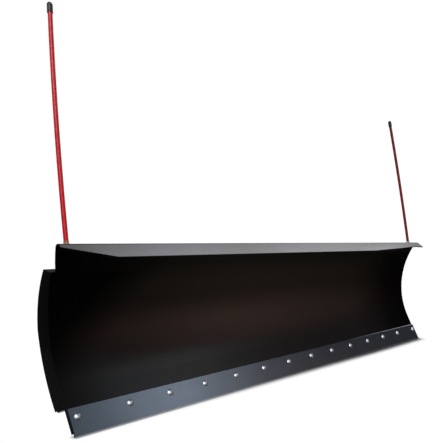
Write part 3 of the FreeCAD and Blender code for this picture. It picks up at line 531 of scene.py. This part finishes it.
# ------------------------------------------------------------------ trip springs
def spring(x):
    """Coil with a half-loop hook at each end, the lower one turned a quarter."""
    steps, turns = 26, 20.25
    half_loop = [math.pi * i / 22.0 for i in range(1, 22)]
    hook_bottom, hook_top = COIL_BOTTOM - LEG, COIL_TOP + LEG
    coil_start = COIL_BOTTOM - COIL_PITCH / 4
    # across, square to the slant, along the slant
    line = [(0, COIL_RADIUS, COIL_BOTTOM - 1.0 - (LEG - 1.0) * i / 9.0) for i in range(10)]
    line += [(0, COIL_RADIUS * math.cos(a), hook_bottom - COIL_RADIUS * math.sin(a))
             for a in half_loop]
    line += [(0, -COIL_RADIUS, hook_bottom + (coil_start - hook_bottom) * i / 8.0)
             for i in range(8)]
    coil_first = len(line)
    for i in range(int(steps * turns) + 1):
        a = -math.pi / 2 + 2 * math.pi * i / steps
        line.append((COIL_RADIUS * math.cos(a), COIL_RADIUS * math.sin(a),
                     coil_start + COIL_PITCH * i / steps))
    coil_end = len(line)
    line += [(COIL_RADIUS, 0, COIL_TOP + LEG * i / 8.0) for i in range(1, 9)]
    line += [(COIL_RADIUS * math.cos(a), 0, hook_top + COIL_RADIUS * math.sin(a))
             for a in half_loop]
    line += [(-COIL_RADIUS, 0, hook_top - (LEG - 1.2) * i / 8.0) for i in range(9)]
    line = [Vector(p) for p in line]
    line = relax(line, coil_first - 5, coil_first + 4, rounds=5)
    line = relax(line, coil_end - 4, coil_end + 5, rounds=5)
    base, square = on_slant(x, 0.0, SPRING_BACK), SLANT.cross(X_AXIS)
    points = [place(*(base + X_AXIS * p.x + square * p.y + SLANT * p.z)) for p in line]
    return tube(points, WIRE_RADIUS / 1000, segments=12)


for side, x in (("left", -SPRING_X), ("right", SPRING_X)):
    piece = make(f"{side}_trip_spring", [spring(x)], "spring_steel")
    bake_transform(piece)
    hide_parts(f"{side}_spring")

# ------------------------------------------------------------------ weld beads
STITCH, STITCH_PITCH = 34, 74
STITCH_FROM, STITCH_STAGGER = 112, 18         # right faces start higher by the stagger
RIGHT_FROM = STITCH_FROM + STITCH_STAGGER


def on_back(x, z):
    """Point just behind the sheet's back face."""
    radius = ARC_RADIUS + SHEET_THICK + 0.2
    return (x, ARC_CENTRE_Y + math.sqrt(radius ** 2 - (z - ARC_CENTRE_Z) ** 2), z)


def sheet_stitches(x, bottom, top):
    """Stitches up the back of the sheet beside one rib face."""
    return [bead(on_back(x, z), on_back(x, z + STITCH), 2.5,
                 path=lambda t: on_back(x, z + STITCH * t))
            for z in range(bottom, top - STITCH + 1, STITCH_PITCH)]


def rib_faces(ribs):
    return [centre + side * thick / 2 for centre, thick, _ in ribs for side in (-1, 1)]


def blade_beads():
    end_face = HALF_LENGTH - END_RIB_THICK
    beads = sheet_stitches(-end_face, RIGHT_FROM, 386)
    beads += sheet_stitches(end_face, STITCH_FROM, 386)
    for centre, thick, top in RIBS:
        beads += sheet_stitches(centre - thick / 2, STITCH_FROM, top)
        beads += sheet_stitches(centre + thick / 2, RIGHT_FROM, top)
    # ribs to the top edge of the bottom angle's upright leg
    for x in rib_faces(RIBS):
        beads.append(bead(on_rake(x, 80.2, 22.0), on_rake(x, 80.2, 52.0), 2.2))
    # spring bar to the hinge ribs
    for x in rib_faces(HINGE_RIBS):
        beads.append(bead(on_slant(x, 62.0, 0.1), on_slant(x, 96.0, 0.1), 2.2))
    # bottom angle to the back of the sheet, clear of the ribs
    length, rib_clearance = 40, 30
    for x in range(-880, 880, 110):
        if min(abs(x + length / 2 - rib[0]) for rib in RIBS) > rib_clearance:
            beads.append(bead(on_rake(x, 80.1, 9.45), on_rake(x + length, 80.1, 9.45), 2.3))
    # shoe sockets to their ribs
    for x in (-402.2, 402.2):
        for y in (115 - 10.5, 115 + 10.5):
            beads.append(bead((x, y, 76.0), (x, y, 134.0), 2.2))
    return beads


def frame_beads():
    beads = []
    # ears to the cross tube and the bottom plate
    for x in (-189.0, -181.0, 181.0, 189.0):
        beads.append(bead((x, 168.0, 117.9), (x, 203.0, 117.9), 2.4))
        beads.append(bead((x, 176.0, 88.0), (x, 228.0, 88.0), 2.2))
    # top plate to the cross tube
    for x in range(-180, 121, 50):
        beads.append(bead((x, 205.7, 124.1), (x + 32.0, 205.7, 124.1), 2.4))
    # kingpin sleeve to both plates, almost a full circle
    radius, sweep, ring_span = 17.1, 6.2, 100
    for z in (88.1, 117.7):
        beads.append(bead((0, 0, 0), (ring_span, 0, 0), 2.4, path=lambda t: (
            radius * math.cos(sweep * t), KINGPIN_Y + radius * math.sin(sweep * t), z)))
    # clevises to the top plate
    for x in (-SPRING_X, SPRING_X):
        for y in (ANCHOR_Y - 22.0, ANCHOR_Y + 22.0):
            beads.append(bead((x - 10.0, y, 124.1), (x + 10.0, y, 124.1), 2.2))
    return beads


make("weld_beads_blade", blade_beads(), "black_coat", "blade")
make("weld_beads_frame", frame_beads(), "black_coat", "pivot_frame")

# ------------------------------------------------------------------ softened plate edges (mm)
soft_widths = {"wear_bar": 1.0, "moldboard": 0.7, "bottom_angle": 0.8, "spring_bar": 0.8,
               "frame_top_plate": 0.9, "frame_bottom_plate": 0.9, "frame_cross_tube": 1.2}
for name in nodes:
    if name.endswith(("_rib", "_ear")) or "hinge_rib" in name:
        soft_widths[name] = 0.7
for name, width in soft_widths.items():
    bevel = nodes[name].modifiers.new("soft_edges", "BEVEL")
    bevel.width = width / 1000.0
    bevel.segments = 2
    bevel.limit_method = "ANGLE"
    bevel.angle_limit = math.radians(50)
    bevel.harden_normals = True


# ------------------------------------------------------------------ stage, light and camera
def floor():
    """White floor seen only by the camera, with a painted shadow close to the object that is darker
    to the right.
    """
    grid = bmesh.new()
    bmesh.ops.create_grid(grid, x_segments=1, y_segments=1, size=30.0)
    mesh = bpy.data.meshes.new("floor")
    grid.to_mesh(mesh)
    grid.free()
    made = bpy.data.objects.new("floor", mesh)
    made.location = (0, 0, GROUND - 0.0002)
    SCENE.collection.objects.link(made)
    mat = Material("floor_white")
    occlusion = mat.node("ShaderNodeAmbientOcclusion", samples=24)
    x = mat.along("X")
    mat.put(occlusion.inputs["Distance"], mat.remap(x, span=(-0.8, 0.6), to=(0.018, 0.060)))
    # painted shadow: the floor's colour darkens where ambient occlusion finds the object close by,
    # faint on the left (pale) and darker on the right (deep)
    pale = mat.ramp(occlusion.outputs["AO"], [
        (0.50, (0.20, 0.20, 0.21)), (0.75, (0.70, 0.70, 0.72)),
        (0.92, (0.95, 0.95, 0.955)), (0.99, (1.0, 1.0, 1.0))])
    deep = mat.ramp(occlusion.outputs["AO"], [
        (0.50, (0.012, 0.012, 0.013)), (0.76, (0.05, 0.05, 0.055)), (0.86, (0.30, 0.30, 0.31)),
        (0.94, (0.82, 0.82, 0.83)), (0.99, (1.0, 1.0, 1.0))])
    shade = mat.mix(mat.remap(x, span=(-0.7, 0.45)), pale, deep)
    glow = mat.fill(mat.node("ShaderNodeEmission"), {"Color": shade, "Strength": 1.02})
    seen = mat.node("ShaderNodeLightPath").outputs["Is Camera Ray"]
    clear = mat.node("ShaderNodeBsdfTransparent").outputs[0]
    shader = mat.fill(mat.node("ShaderNodeMixShader"), {"Fac": seen, 1: clear, 2: glow})
    mat.put(mat.tree.nodes["Material Output"].inputs["Surface"], shader)
    made.data.materials.append(mat.data)


# soft bright areas: direction, sharpness, colour
GLOWS = [
    ((0.690, -0.240, -0.690), 45.0, (0.17, 0.15, 0.13)),
    ((0.690, -0.570, -0.454), 45.0, (0.16, 0.13, 0.10)),
    ((0.700, -0.640, -0.309), 45.0, (0.17, 0.13, 0.10)),
    ((0.680, -0.735, 0.000), 60.0, (0.84, 0.50, 0.40)),
    ((0.700, -0.680, 0.220), 70.0, (0.60, 0.37, 0.31)),
    ((0.470, -0.750, 0.454), 60.0, (0.06, 0.07, 0.08)),
    ((0.606, -0.650, 0.458), 180.0, (1.18, 1.22, 1.30)),
    ((0.885, -0.380, 0.270), 60.0, (0.045, 0.042, 0.044)),
    ((0.502, -0.634, 0.588), 45.0, (0.18, 0.21, 0.22)),
    ((0.640, -0.540, 0.545), 60.0, (0.14, 0.13, 0.14)),
    ((0.856, 0.246, 0.454), 45.0, (0.95, 0.98, 1.02)),
    ((0.807, 0.056, 0.588), 45.0, (2.60, 2.54, 2.66)),
    ((0.544, 0.222, 0.809), 45.0, (4.55, 4.45, 4.75)),
    ((0.377, 0.254, 0.891), 45.0, (1.10, 1.09, 1.18)),
    ((-0.50, -0.53, 0.69), 50.0, (6.5, 6.7, 7.2)),
    ((-0.52, -0.66, 0.54), 10.0, (1.7, 1.75, 1.85)),
    ((-0.20, -0.85, 0.48), 10.0, (0.22, 0.25, 0.30)),
    # behind, beside and under the object
    ((-0.10, 0.72, 0.68), 18.0, (2.2, 2.25, 2.35)),
    ((-0.05, 0.94, 0.33), 30.0, (2.4, 2.4, 2.5)),
    ((0.05, 0.94, -0.34), 40.0, (1.7, 1.7, 1.72)),
    ((0.40, 0.84, -0.36), 30.0, (1.1, 1.1, 1.12)),
    ((0.72, 0.58, -0.38), 30.0, (0.75, 0.75, 0.76)),
    ((0.96, 0.24, -0.15), 45.0, (0.8, 0.8, 0.82)),
    ((-0.98, 0.02, -0.20), 40.0, (0.9, 0.9, 0.92)),
    ((-0.80, 0.30, 0.52), 35.0, (0.9, 0.92, 0.95)),
    ((0.00, 0.30, -0.95), 14.0, (0.5, 0.5, 0.5)),
]
AMBIENT = (0.005, 0.005, 0.005)
BACKDROP = (1.02, 1.02, 1.02)


def studio():
    """White to the camera; to the object a dark room with the soft bright areas."""
    world = bpy.data.worlds.new("studio")
    SCENE.world = world
    world.use_nodes = True
    sky = Nodes(world.node_tree, "Generated")
    total = None
    for direction, sharpness, color in GLOWS:
        dot = sky.node("ShaderNodeVectorMath", operation="DOT_PRODUCT")
        sky.fill(dot, {0: sky.coords, 1: Vector(direction).normalized()})
        falloff = sky.calc("MULTIPLY_ADD", dot.outputs["Value"], sharpness, -sharpness)
        glow = sky.vector("SCALE", {0: color, "Scale": sky.calc("EXPONENT", falloff)})
        total = glow if total is None else sky.vector("ADD", {0: total, 1: glow})
    total = sky.vector("ADD", {0: total, 1: AMBIENT})
    seen = sky.node("ShaderNodeLightPath").outputs["Is Camera Ray"]
    sky.fill(world.node_tree.nodes["Background"],
             {"Color": sky.mix(seen, total, BACKDROP), "Strength": 1.0})


def camera():
    """Front left, above the blade, looking down and to the right."""
    lens = bpy.data.cameras.new("camera")
    made = bpy.data.objects.new("camera", lens)
    SCENE.collection.objects.link(made)
    SCENE.camera = made
    lens.sensor_width = 36.0
    lens.lens = 42.070429
    lens.shift_x = -0.0022573363
    lens.shift_y = 0.22099323
    lens.clip_start = 0.01
    made.location = place(-1489, -1077, 463.0)
    made.rotation_euler = (math.radians(90 - 8.59), 0, math.radians(-44.78))


floor()
studio()
camera()
SCENE.view_settings.view_transform = "Standard"
